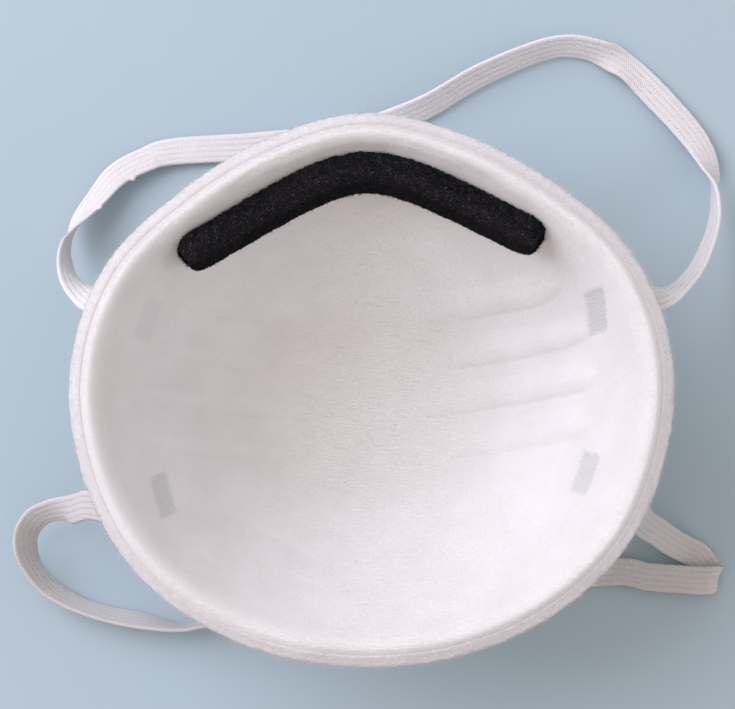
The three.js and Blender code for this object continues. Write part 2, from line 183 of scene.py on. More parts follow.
# Middle lines of the bands from weld to weld: x, y, z, then the compass direction of the width and how far
# one edge is turned up from lying flat, in degrees.
UPPER_BAND_ROUTE = [
    (-0.0509, 0.0177, 0.0306, 65, 0),
    (-0.0526, 0.0185, 0.0342, 65, 0),
    (-0.0543, 0.0193, 0.0377, 65, 0),
    (-0.0573, 0.0205, 0.0403, 65, 0),
    (-0.0608, 0.0219, 0.0398, 62, -9),
    (-0.0633, 0.023, 0.036, 28, -17),
    (-0.0671, 0.0261, 0.028, -12, -25),
    (-0.0699, 0.0301, 0.019, -46, -28),
    (-0.0709, 0.0341, 0.0125, -71, -34),
    (-0.0705, 0.0374, 0.0086, -108, -51),
    (-0.0687, 0.0422, 0.0056, 178, -51),
    (-0.0642, 0.0478, 0.0038, 148, -36),
    (-0.0595, 0.053, 0.0029, 130, -24),
    (-0.0528, 0.0564, 0.0021, 113, -23),
    (-0.0455, 0.0583, 0.0014, 99, -12),
    (-0.025, 0.059, 0.0009, 92, 0),
    (-0.003, 0.061, 0.0009, 104, 6),
    (0.0141, 0.0664, 0.0025, 115, 34),
    (0.0281, 0.0738, 0.0028, 116, 40),
    (0.0421, 0.0792, 0.0031, 107, 45),
    (0.0501, 0.0804, 0.0031, 87, 45),
    (0.0571, 0.0789, 0.0026, 65, 39),
    (0.0638, 0.0754, 0.0015, 54, -15),
    (0.0699, 0.0693, 0.0012, 42, -1),
    (0.0775, 0.0603, 0.0022, 36, -9),
    (0.0812, 0.0543, 0.0036, 19, -23),
    (0.0828, 0.0492, 0.0054, -12, -41),
    (0.083, 0.0441, 0.008, -87, -61),
    (0.0828, 0.04, 0.0105, -113, -57),
    (0.0814, 0.0347, 0.014, -133, -49),
    (0.0777, 0.0281, 0.021, -149, -42),
    (0.0736, 0.0233, 0.028, -166, -37),
    (0.0689, 0.02, 0.035, 170, -36),
    (0.0643, 0.0185, 0.0395, 116, -25),
    (0.059, 0.0184, 0.041, 114, -3),
    (0.0556, 0.0176, 0.0386, 114, 0),
    (0.0539, 0.0169, 0.0351, 114, 0),
    (0.0521, 0.0162, 0.0315, 114, 0),
]
LOWER_BAND_ROUTE = [
    (-0.0489, -0.0229, 0.0283, 116, 0),
    (-0.0506, -0.0236, 0.0319, 116, 0),
    (-0.0523, -0.0243, 0.0354, 115, 0),
    (-0.0554, -0.025, 0.0379, 110, 0),
    (-0.0596, -0.0248, 0.037, 102, -2),
    (-0.0652, -0.0242, 0.0325, 93, -1),
    (-0.0699, -0.0256, 0.025, 102, 0),
    (-0.0742, -0.0261, 0.018, 128, 18),
    (-0.0794, -0.0278, 0.012, 148, 25),
    (-0.0828, -0.0314, 0.0085, 174, 33),
    (-0.0837, -0.0355, 0.0066, -160, 39),
    (-0.0826, -0.0402, 0.005, -138, 51),
    (-0.0794, -0.045, 0.004, -127, 56),
    (-0.0752, -0.0483, 0.0036, -119, 62),
    (-0.0701, -0.0508, 0.0037, -113, 65),
    (-0.0644, -0.0527, 0.0037, -105, 64),
    (-0.0568, -0.0544, 0.0037, -103, 64),
    (-0.0478, -0.0563, 0.0038, -101, 84),
    (-0.0405, -0.0556, 0.0039, 95, 90),
    (-0.016, -0.0534, 0.0034, 96, 58),
    (0.012, -0.05, 0.0022, 96, 24),
    (0.036, -0.0478, 0.0015, 96, 6),
    (0.0572, -0.0464, 0.002, 90, 3),
    (0.0656, -0.0479, 0.0027, 82, 0),
    (0.0727, -0.0486, 0.0033, 84, 0),
    (0.0773, -0.0491, 0.0034, 85, 0),
    (0.0804, -0.049, 0.0033, 78, 0),
    (0.0817, -0.0485, 0.0021, 72, 0),
    (0.0803, -0.0475, 0.0009, 63, 0),
    (0.0776, -0.0435, 0.0009, 45, 0),
    (0.0742, -0.0415, 0.0016, 59, 0),
    (0.0704, -0.0391, 0.0044, 56, 0),
    (0.0662, -0.0361, 0.0115, 55, 0),
    (0.0621, -0.0332, 0.021, 53, 0),
    (0.0602, -0.0298, 0.031, 59, 0),
    (0.0578, -0.0262, 0.037, 64, 0),
    (0.0547, -0.0238, 0.0374, 66, 0),
    (0.0525, -0.0226, 0.0344, 66, 0),
    (0.0507, -0.0218, 0.0308, 66, 0),
    (0.049, -0.021, 0.0272, 66, 0),
]

# ------------------------------------------------------------------ small helpers


def catmull_rom(t, a, b, c, d):
    """The smooth curve through four evenly spaced values, at a share t of the way from b to c."""
    square = 2 * a - 5 * b + 4 * c - d
    cube = 3 * b - 3 * c + d - a
    return b + (c - a + (square + cube * t) * t) * (t / 2)


def along_table(values, step, angle):
    """A smooth curve through evenly spaced values, mirrored at both ends."""
    last = len(values) - 1
    place = abs((angle + math.pi) % TURN - math.pi) * 180 / math.pi / step
    index = min(int(place), last - 1)
    four = [values[last - abs(last - abs(index + i))] for i in (-1, 0, 1, 2)]
    return catmull_rom(place - index, *four)


def along_rows(rows, place):
    """A smooth curve through rows of numbers, at a place counted in rows."""
    last = len(rows) - 1
    index = max(0, min(int(place), last - 1))
    nearby = [rows[max(0, min(last, index + i))] for i in (-1, 0, 1, 2)]
    return [catmull_rom(place - index, *four) for four in zip(*nearby)]


def smoothstep(start, end, value):
    """Rises from 0 at start to 1 at end without a kink."""
    t = max(0.0, min(1.0, (value - start) / (end - start)))
    return t * t * (3 - 2 * t)


def mix(a, b, share):
    return a + (b - a) * share


def ripple(point, size, seed):
    """Smooth noise from about -1 to 1, with bumps of about that size."""
    return noise.noise(Vector(point) / size + Vector((seed, seed * 0.7, -seed)))


def ripples(point, rows):
    """The sum of ripples of several heights and sizes."""
    return sum(height * ripple(point, size, seed) for height, size, seed in rows)


# ------------------------------------------------------------------ the cup's form


def rim_radius(angle):
    """Radius of the flange's edge from the panel's middle."""
    return along_table(RIM_RADII, 20, angle)


def crest_height(angle):
    return RIM_HEIGHT - RIM_SADDLE * math.cos(angle) ** 2


def outward(angle):
    return Vector((math.sin(angle), math.cos(angle), 0))


def inward(angle, slope):
    """The way into the hollow from a wall of that slope."""
    return outward(angle) * -math.sin(slope) + Vector((0, 0, math.cos(slope)))


def wall_profile(angle, share):
    """The wall's height and slope at a share of the way to the lip."""
    power = along_table(WALL_POWERS, 30, angle)
    rise = crest_height(angle) - LIP_DROP - WALL
    reach = rim_radius(angle) - LIP_INSET
    climb = max(0.0, (share - PANEL_FRACTION) / (1 - PANEL_FRACTION))
    if climb == 0:
        return WALL, 0.0
    steepness = rise * power * climb ** (power - 1) / (reach * (1 - PANEL_FRACTION))
    return WALL + rise * climb**power, math.atan(steepness)


def wall_place(angle, share):
    """The point of the liner's face there, and the way out of it into the hollow."""
    height, slope = wall_profile(angle, share)
    flat = outward(angle) * (share * (rim_radius(angle) - LIP_INSET))
    return flat + Vector((0, PANEL_Y, height)), inward(angle, slope)


def face_at(x, y):
    """The same for a place in plan."""
    angle = math.atan2(x, y - PANEL_Y)
    share = math.hypot(x, y - PANEL_Y) / (rim_radius(angle) - LIP_INSET)
    point, normal = wall_place(angle, share)
    return Vector((x, y, point.z)), normal


def rim_place(angle, inset, drop):
    """The point that far in from the flange's edge and below the rim's crest."""
    flat = outward(angle) * (rim_radius(angle) - inset)
    return flat + Vector((0, PANEL_Y, crest_height(angle) - drop))


def rib_relief(x, y):
    """How far the ribs stand into the hollow."""
    total = 0.0
    for edge_y, reach, strength in RIB_ROWS:
        above = y - RIB_CURVE * x * x - edge_y - RIB_CREST
        beyond = max(0.0, abs(x) - (reach - RIB_TIP)) / RIB_TIP
        width = RIB_CREST if above < 0 else RIB_SOFT_WIDTH
        out = math.hypot(above / width, beyond)
        if out >= 1:
            continue
        steep = (1 - out * out) ** 0.8
        soft = 1 - smoothstep(0.0, 1, out)
        shape = mix(steep, soft, smoothstep(-0.4, 1.6, above))
        total += strength * shape * smoothstep(*RIB_FADE_IN, abs(x))
    return RIB_HEIGHT * total


def crease(x, y, path, width):
    """1 on a polyline, falling to 0 at that width beside it."""
    nearest = width
    for (x0, y0), (x1, y1) in zip(path, path[1:]):
        dx, dy = x1 - x0, y1 - y0
        t = max(0.0, min(1.0, ((x - x0) * dx + (y - y0) * dy) / (dx * dx + dy * dy)))
        nearest = min(nearest, math.hypot(x - x0 - t * dx, y - y0 - t * dy))
    return (1 - nearest / width) ** 2


def stamp_frames():
    """Centre on the liner's face, direction across, level direction and clearness of each stamp."""
    frames = []
    for angle, share, turn, strength in STAMPS:
        centre, normal = wall_place(math.radians(angle), share)
        level = Vector((0, 0, 1)).cross(normal).normalized()
        upslope = normal.cross(level)
        long_way = level * math.cos(math.radians(turn)) + upslope * math.sin(math.radians(turn))
        frames.append((centre, normal.cross(long_way), level, strength))
    return frames


STAMP_FRAMES = stamp_frames()


def nearest_stamp(point):
    return min(STAMP_FRAMES, key=lambda stamp: (point - stamp[0]).length_squared)


def stamp_place(point):
    """Distances from the nearest stamp's middle: along the level, across the stamp, and the first signed."""
    centre, short_way, level, _ = nearest_stamp(point)
    away = point - centre
    return abs(away.dot(level)), abs(away.dot(short_way)), away.dot(level)


def stamp_clearness(point):
    return nearest_stamp(point)[3], 0.0, 0.0


def stamp_depth(point, margin):
    """How deep the nearest stamp is pressed in, with edges rounded by a margin."""
    along, across, _ = stamp_place(point)
    strength = nearest_stamp(point)[3]
    inside = 1 - smoothstep(-margin, margin, along - STAMP_LENGTH / 2)
    inside *= 1 - smoothstep(-margin, margin, across - STAMP_WIDTH / 2)
    return STAMP_DEPTH * inside * mix(0.5, 1, strength)


def liner_relief(point, share):
    """How far the lining's face stands in from the plain wall."""
    x, y = point.x, point.y
    raised = rib_relief(x, y) + ripples(point, LINER_RIPPLES)
    for path, width, depth in SOFT_CREASES:
        raised -= depth * crease(x, y, path, width)
    nose_zone = smoothstep(30, 44, y) * smoothstep(0.7, 0.9, share)
    raised += 0.16 * nose_zone * ripple((x, y * 0.5, 0), 3.4, 5.5)
    return raised - stamp_depth(point, 0.35)


def shell_relief(point, _share):
    """How far the shell's outside is pushed in by the ribs' grooves and the welds."""
    raised = RIB_GROOVE_SHARE * rib_relief(point.x, point.y) + ripples(point, SHELL_RIPPLES)
    return raised + stamp_depth(point, 0.3)


def rim_waver(angle):
    """The lip isn't quite even: a slow rise and fall along the rim, with a faster, smaller one on it."""
    return ripples(outward(angle) * WAVER_RADIUS, RIM_RIPPLES)


# ------------------------------------------------------------------ the cup's two felt layers

SPIN_STEPS = 520
FACE_SHARES = [0.06, 0.13] + [0.2 + 0.8 * k / 86 for k in range(87)]  # of the way to the lip
HIDDEN_SHARES = [k / 10 for k in range(1, 11)]
LIP_FINE = [1 + k / 5 for k in range(1, 26)]  # rows of LIP_ROWS, which start one row inside the lip
LIP_COARSE = [1 + k / 2 for k in range(1, 11)]
LAST_HIDDEN_ROW = 4  # where the lip's underside meets the flange's


def wall_station(share, depth, relief):
    """Places a ring of the wall, at a depth behind the liner's face, raised by a relief."""

    def place(angle):
        point, normal = wall_place(angle, share)
        raised = relief(point, share) if relief else 0.0
        settle = rim_waver(angle) * smoothstep(0.7, 1, share)
        return point + normal * (raised - depth) + Vector((0, 0, settle))

    return place


def lip_station(row, depth_column, extra=0.0, relief=None):
    """Places a ring of the lip: its face where no column is given, else that column's depth behind it."""
    inset, drop, lean, *depths = along_rows(LIP_ROWS, row)
    depth = depths[depth_column] + extra if depth_column is not None else 0.0

    def place(angle):
        slope = wall_profile(angle, 1)[1] * lean
        point = rim_place(angle, inset, drop)
        fade = 1 - smoothstep(1, 5, row)
        raised = relief(point, 1) * fade if relief else 0.0
        return point + inward(angle, slope) * (raised - depth) + Vector((0, 0, rim_waver(angle)))

    return place


def welded_station(angle):
    """The liner's edge, out of sight in the flange."""
    return rim_place(angle, *WELDED_EDGE) + Vector((0, 0, rim_waver(angle)))


def shallow_groove(angle):
    """Share by which felt fills the weld groove: most between the left cheek and the chin."""
    return mix(0.5, 1.0, smoothstep(0.0, 0.9, -math.sin(angle + math.pi / 4)))


def flange_station(row):
    """Places a ring of the flange, whose edge is ragged."""
    inset, drop = along_rows(FLANGE_ROWS, row)
    at_edge = 1 - smoothstep(0.0, 1.2, inset)
    filled = GROOVE_FILL * smoothstep(1.0, 2.3, inset) * (1 - smoothstep(1.2, 1.6, drop))

    def place(angle):
        point = rim_place(angle, inset, drop)
        ragged = at_edge * ripples(point, EDGE_RIPPLES_OUTWARD)
        lift = rim_waver(angle) + at_edge * ripples(point, EDGE_RIPPLES_UPWARD)
        lift += filled * shallow_groove(angle)
        return point + outward(angle) * ragged + Vector((0, 0, lift))

    return place


def centre_station(depth):
    """The middle of the front panel, at a depth behind the liner's face."""
    return lambda angle: Vector((0, PANEL_Y, WALL - depth))


def spun_skin(name, stations):
    """A closed skin through stations from the middle of one side, over the rim, to the middle of the other.

    The chain of stations is spun flat, one ring each, and every ring is then put in its place. The last
    station lies below the first, so that the two stay apart until then."""
    bm = bmesh.new()
    last = len(stations) - 1
    chain = [bm.verts.new((k, 0, 0)) for k in range(last)] + [bm.verts.new((0, 0, -1))]
    edges = [bm.edges.new(pair) for pair in zip(chain, chain[1:])]
    bmesh.ops.spin(bm, geom=chain + edges, cent=(0, 0, 0), axis=(0, 0, 1), angle=TURN, steps=SPIN_STEPS,
                   use_merge=True)
    bmesh.ops.remove_doubles(bm, verts=bm.verts, dist=2e-3)
    for vertex in bm.verts:
        ring = round(math.hypot(vertex.co.x, vertex.co.y))
        station = last if vertex.co.z < -0.5 and ring == 0 else ring
        vertex.co = stations[station](math.atan2(vertex.co.x, vertex.co.y))
    bmesh.ops.recalc_face_normals(bm, faces=bm.faces)
    return finished(bm, name)


def finished(bm, name):
    """Turns a bmesh in millimetres into a smooth object in metres that moves with the cup."""
    bmesh.ops.scale(bm, vec=(MM, MM, MM), verts=bm.verts)
    mesh = bpy.data.meshes.new(name)
    bm.to_mesh(mesh)
    bm.free()
    mesh.shade_smooth()
    piece = bpy.data.objects.new(name, mesh)
    bpy.context.collection.objects.link(piece)
    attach(piece, "root")
    return piece


def give_attribute(piece, name, value_at):
    """Stores a vector for every vertex, worked out from its place in millimetres."""
    values = []
    for vertex in piece.data.vertices:
        values.extend(value_at(vertex.co / MM))
    attribute = piece.data.attributes.new(name, "FLOAT_VECTOR", "POINT")
    attribute.data.foreach_set("vector", values)


def rim_place_of(point):
    """Distance round the rim and inset from the flange's edge."""
    angle = math.atan2(point.x, point.y - PANEL_Y)
    inset = rim_radius(angle) - math.hypot(point.x, point.y - PANEL_Y)
    return abs(angle) * MEAN_RIM_RADIUS, inset, 0.0


def mark_felt(piece):
    """Stores what the felt's finish reads: the stamps and the place on the rim."""
    give_attribute(piece, "stamp", stamp_place)
    give_attribute(piece, "stamp_clearness", stamp_clearness)
    give_attribute(piece, "rim", rim_place_of)


def make_liner():
    """The lining: its face from the middle of the front to the weld groove, and its back behind it."""
    face = [wall_station(share, 0.0, liner_relief) for share in FACE_SHARES]
    face += [lip_station(row, None, relief=liner_relief) for row in LIP_FINE] + [welded_station]
    back = [wall_station(share, LINER_THICKNESS, None) for share in HIDDEN_SHARES]
    back += [lip_station(row, 0) for row in LIP_COARSE]
    stations = [centre_station(0), *face, *back[::-1], centre_station(LINER_THICKNESS)]
    piece = spun_skin("liner_felt", stations)
    mark_felt(piece)
    return piece


def make_shell():
    """The shell: its inside behind the lining, the flange round the rim, and its outside."""
    sunk = LINER_THICKNESS + GAP
    face = [wall_station(share, sunk, None) for share in HIDDEN_SHARES]
    face += [lip_station(row, 0, GAP) for row in LIP_COARSE]
    flange_rows = [k / 3 for k in range(3 * len(FLANGE_ROWS) - 2)]
    flange = [flange_station(row) for row in flange_rows]
    back = [wall_station(share, WALL, shell_relief) for share in FACE_SHARES]
    back += [lip_station(row, 1) for row in LIP_FINE if row <= LAST_HIDDEN_ROW]
    stations = [centre_station(sunk), *face, *flange, *back[::-1], centre_station(WALL)]
    piece = spun_skin("shell_felt", stations)
    mark_felt(piece)
    return piece


# ------------------------------------------------------------------ the nose foam


def foam_place(offset):
    """The point of the lining under the foam's middle line, and the way out of it."""
    x = FOAM_MIDDLE_X + offset
    bend = math.hypot(x, FOAM_BEND_RADIUS) - FOAM_BEND_RADIUS
    return face_at(x, FOAM_APEX_Y - FOAM_ARM_SLOPE * bend)


def foam_point(along, across, height):
    """A point of the foam: along from -1 to 1, across from -1 to 1, height in millimetres."""
    end = max(0.0, abs(along) - (1 - FOAM_END)) / FOAM_END
    pinch = FOAM_END_PINCH[0 if along < 0 else 1]
    offset = FOAM_HALF_SPAN * along
    point, normal = foam_place(offset)
    step = foam_place(offset + 0.5)[0] - foam_place(offset - 0.5)[0]
    sideways = normal.cross(step).normalized()
    out = step.cross(sideways).normalized()
    narrowed = math.sqrt(max(0.0, 1 - pinch * end**2.6))
    aside = point + sideways * (across * narrowed * FOAM_WIDTH / 2)
    back, back_normal = face_at(aside.x, aside.y)
    return back + back_normal * FOAM_STANDOFF + out * (height * mix(1, 0.93, end * end))


def rounded_section(y, up):
    """Draws the front corners of a section, across from -1 to 1 and up from 0 to 1, in towards a circle."""
    straight = 1 - FOAM_EDGE_ROUNDING
    corner_y = max(0.0, abs(y) - straight) / FOAM_EDGE_ROUNDING
    corner_up = max(0.0, up - straight) / FOAM_EDGE_ROUNDING
    out = max(corner_y, corner_up)
    drawn_in = FOAM_EDGE_ROUNDING * out / math.hypot(corner_y, corner_up) if out > 0 else 0.0
    if corner_y > 0:
        y = math.copysign(straight + corner_y * drawn_in, y)
    if corner_up > 0:
        up = straight + corner_up * drawn_in
    return y, up


def make_foam():
    """The nose foam: a strip bent over the nose, its front edges rounded and its skin open-celled."""
    bm = bmesh.new()
    bmesh.ops.create_cube(bm, size=2)
    for axis, cuts in enumerate(FOAM_CUTS):
        edges = [edge for edge in bm.edges if abs((edge.verts[0].co - edge.verts[1].co)[axis]) > 1]
        bmesh.ops.subdivide_edges(bm, edges=edges, cuts=cuts, use_grid_fill=True)
    layer = bm.verts.layers.float_vector.new("lie")
    for vertex in bm.verts:
        vertex[layer] = vertex.co
        across, up = rounded_section(vertex.co.y, (vertex.co.z + 1) / 2)
        vertex.co = foam_point(vertex.co.x, across, up * FOAM_THICKNESS)
    bmesh.ops.recalc_face_normals(bm, faces=bm.faces)
    bm.normal_update()
    for vertex in bm.verts:
        place = vertex.co
        nearest, second = noise.voronoi(place / PORE_SIZE)[0][:2]
        pushed = ripples(place, FOAM_RIPPLES) - PORE_DEPTH * smoothstep(0.0, 0.32, second - nearest)
        vertex.co = place + vertex.normal * pushed
    return finished(bm, "nose_foam_strip")


# ------------------------------------------------------------------ the headbands


def band_line(rows):
    """Evenly spaced stations along a band: place, direction of its width, way out of its face, distance."""
    places = [Vector(row[:3]) / MM for row in rows]
    widths = []
    for *_, across, lift in rows:
        a, b = math.radians(across), math.radians(lift)
        widths.append(Vector((math.cos(b) * math.cos(a), math.cos(b) * math.sin(a), math.sin(b))))
    last = len(rows) - 1

    def between(values, place):
        index = min(int(place), last - 1)
        b, c = values[index], values[index + 1]
        a = values[index - 1] if index else 2 * b - c
        d = values[index + 2] if index + 2 <= last else 2 * c - b
        return Vector([catmull_rom(place - index, *four) for four in zip(a, b, c, d)])

    fine = [k / 50 for k in range(50 * last + 1)]  # places counted in rows, 50 to a row
    dense = [between(places, place) for place in fine]
    lengths = [0.0]
    for a, b in zip(dense, dense[1:]):
        lengths.append(lengths[-1] + (b - a).length)
    stations, k = [], 0
    for step in range(BAND_STATIONS + 1):
        along = lengths[-1] * step / BAND_STATIONS
        while k < len(lengths) - 2 and lengths[k + 1] < along:
            k += 1
        place = mix(fine[k], fine[k + 1], (along - lengths[k]) / (lengths[k + 1] - lengths[k]))
        before, after = max(0, place - 0.01), min(last, place + 0.01)
        tangent = (between(places, after) - between(places, before)).normalized()
        width = between(widths, place)
        width = (width - tangent * width.dot(tangent)).normalized()
        stations.append((between(places, place), width, tangent.cross(width), along))
    return stations


def band_section(around):
    """Share across the band from -1 to 1 and side, for a share of the way round its section."""
    half_turn = (around % 1) * 2
    return (1 - 2 * half_turn, 1.0) if half_turn < 1 else (2 * half_turn - 3, -1.0)


def pulled_out(along, across):
    """How far pulled loops widen a band's edge, as a share of half its width."""
    out = 0.0
    for middle, edge, height in PULLED_LOOPS:
        if edge * across > 0:
            out += height * math.exp(-((along - middle) / PULLED_LOOP_WIDTH) ** 2) * 2 / BAND_WIDTH
    return out


def band_half_thickness(across, from_end, pressed):
    """Thin at the edges, full over each cord, and flattened into bars where the band is welded on."""
    half = BAND_THICKNESS / 2 * math.sqrt(max(0.0, 1 - abs(across) ** 7))
    cord = abs(math.sin(math.pi * BAND_CORDS * (across + 1) / 2))
    half *= mix(0.92 + 0.08 * cord, 0.55, pressed)
    bars = 0.5 + 0.5 * math.cos(TURN * from_end / WELD_BAR_PITCH)
    return half - 0.08 * pressed * bars * (1 - abs(across) ** 4)


def band_edge(along, across, pressed, seed):
    """How wide the band is there, as a share of its nominal width: waves, edge loops and pulled loops."""
    edge = 1 + 0.02 * ripple((along, across * 2, 0), 6, seed) + 0.014 * ripple((along, across, 0), 1.6, seed)
    edge += EDGE_LOOP_DEPTH * (abs(math.sin(math.pi * along / EDGE_LOOP_PITCH)) - 0.6) * (1 - pressed)
    if seed == UPPER_BAND_SEED and abs(across) > 0.9:
        edge += pulled_out(along, across)
    return edge + 0.06 * pressed


def band_point(station, total, across, side, seed):
    """A point of a band's skin. Near its ends the band lies closer to the wall that it is welded to."""
    place, width, out, along = station
    from_end = min(along, total - along)
    pressed = 1 - smoothstep(WELD_LENGTH / 2 - 0.3, WELD_LENGTH / 2 + 0.5, abs(from_end - WELD_CENTRE))
    to_wall = -1.0 if out.dot(place - Vector((0, 0, 60))) > 0 else 1.0
    near_end = 1 - smoothstep(5, 11, from_end)
    half = band_half_thickness(across, from_end, pressed)
    aside = across * band_edge(along, across, pressed, seed) * BAND_WIDTH / 2
    bow = 0.14 * (1 - across * across) * ripple((along, 0, 0), 30, seed + 2) * (1 - near_end)
    shift = to_wall * (0.12 * near_end + 0.3 * pressed)
    return place + width * aside + out * (side * half + bow + shift)


def make_band(name, rows, seed, band_shade_share):
    """A headband from weld to weld, as a closed skin."""
    line = band_line(rows)
    total = line[-1][3]
    bm = bmesh.new()
    layer = bm.verts.layers.float_vector.new("weave")
    bmesh.ops.create_grid(bm, x_segments=BAND_STATIONS, y_segments=BAND_SECTION_STEPS, size=0.5)
    for vertex in bm.verts:
        station = line[round((vertex.co.x + 0.5) * BAND_STATIONS)]
        across, side = band_section(vertex.co.y + 0.5)
        from_end = min(station[3], total - station[3])
        vertex[layer] = (station[3], across * BAND_WIDTH / 2, from_end)
        vertex.co = band_point(station, total, across, side, seed)
    bmesh.ops.remove_doubles(bm, verts=bm.verts, dist=1e-4)
    bmesh.ops.holes_fill(bm, edges=[edge for edge in bm.edges if edge.is_boundary], sides=0)
    bmesh.ops.recalc_face_normals(bm, faces=bm.faces)
    piece = finished(bm, name)
    # The band's share of painted shade, stored for its finish.
    give_attribute(piece, "band_shade_share", lambda point: (band_shade_share, 0.0, 0.0))
    return piece


# ------------------------------------------------------------------ loose fibres


def fibre_shape():
    """One straight fibre, three-sided and tapered, from z = -1 to 1."""
    bm = bmesh.new()
    bmesh.ops.create_cone(bm, cap_ends=True, segments=3, radius1=1, radius2=0.35, depth=2)
    sides = [edge for edge in bm.edges if abs((edge.verts[0].co - edge.verts[1].co).z) > 1]
    bmesh.ops.subdivide_edges(bm, edges=sides, cuts=2)
    mesh = bpy.data.meshes.new("fibre")
    bm.to_mesh(mesh)
    bm.free()
    return mesh


def sow_fibres(name, draw, roots):
    """Short curled fibres, one at each root: place, rough direction, length and thickness."""
    fibre = fibre_shape()
    bm = bmesh.new()
    for root, facing, length, thick in roots:
        lean = Vector((draw.gauss(0, 0.7), draw.gauss(0, 0.7), draw.gauss(0.1, 0.5)))
        way = (facing * 0.9 + lean).normalized()
        curl = Vector((draw.gauss(0, 1), draw.gauss(0, 1), draw.gauss(0, 1))) * 0.35
        first = len(bm.verts)
        bm.from_mesh(fibre)
        bm.verts.ensure_lookup_table()
        aside = way.orthogonal().normalized()
        other = way.cross(aside)
        for vertex in bm.verts[first:]:
            t = (vertex.co.z + 1) / 2
            across = aside * vertex.co.x + other * vertex.co.y
            vertex.co = root + way * (t * length - 0.08) + curl * (t * t * length) + across * thick
    bpy.data.meshes.remove(fibre)
    bmesh.ops.recalc_face_normals(bm, faces=bm.faces)
    return finished(bm, name)


def make_rim_fibres():
    """Fibres standing out of the flange's cut edge and off the lip."""
    draw = random.Random(11)
    roots = []
    for _ in range(RIM_FIBRE_COUNT):
        angle = draw.uniform(-math.pi, math.pi)
        inset = draw.choice((0.05, 0.05, 0.1, 0.5, 2.3))
        root = rim_place(angle, inset, 1.75 if inset < 0.2 else 1.2) + Vector((0, 0, rim_waver(angle)))
        length = draw.uniform(0.3, 1.0) if inset < 0.2 else draw.uniform(0.25, 0.6)
        roots.append((root, outward(angle), length, draw.uniform(0.02, 0.04)))
    return sow_fibres("rim_fibres", draw, roots)


def make_foam_fibres():
    """The torn cells along the cut edges of the foam."""
    draw = random.Random(5)
    roots = []
    for _ in range(FOAM_FIBRE_COUNT):
        along = draw.choice((-1, 1)) if draw.random() < 0.08 else draw.uniform(-0.99, 0.99)
        across = draw.uniform(-1, 1) if abs(along) == 1 else draw.choice((-0.99, 0.99))
        height = draw.uniform(0.4, 4.7)
        root = foam_point(along, across, height)
        facing = (root - foam_point(along * 0.95, 0, height)).normalized()
        roots.append((root, facing, draw.uniform(0.2, 0.75), draw.uniform(0.03, 0.07)))
    return sow_fibres("foam_fibres", draw, roots)


# ------------------------------------------------------------------ finishes

LINER_LIGHT = (0.84, 0.838, 0.838, 1)
LINER_DARK = (0.78, 0.777, 0.77, 1)
LINER_STAMP = (0.50, 0.53, 0.56, 1)
SHELL_LIGHT = (0.78, 0.775, 0.785, 1)
SHELL_DARK = (0.7, 0.695, 0.7, 1)
SHELL_STAMP = (0.58, 0.60, 0.63, 1)
HAIR_WHITE = (0.93, 0.92, 0.93, 1)
# Painted shade: the flat front at the bottom of the hollow is drawn darker.
FRONT_PAINTED_SHADE = (0.64, 0.605, 0.55, 1)
FRONT_SHADE_FADE = (0.005, 0.013)  # heights in metres between which the painted shade on the flat front fades out
FLANGE_BLOTCH = (0.5, 0.5, 0.52, 1)
FLANGE_FADE = (2.4, 2.75)  # insets between which the flange's blotches and knurl fade out
# Painted shade in the weld groove.
GROOVE_PAINTED_SHADE = (0.42, 0.41, 0.4, 1)
FOAM_BLACK = (0.003, 0.003, 0.004, 1)
FOAM_STRUT = (0.022, 0.021, 0.026, 1)
FOAM_SPECK_GREY = (0.11, 0.105, 0.118, 1)
ELASTIC_WHITE = (0.95, 0.935, 0.945, 1)
# Painted shade in the channels and between stitches.
ELASTIC_SHADE = (0.6, 0.585, 0.585, 1)
ELASTIC_LOOPS = (0.94, 0.93, 0.94, 1)
# Painted shade for the lower band.
ELASTIC_PAINTED_SHADE = (0.4, 0.375, 0.36, 1)
ELASTIC_WELD = (0.6, 0.62, 0.65, 1)
FLOOR_BLUE = (0.42, 0.535, 0.59, 1)


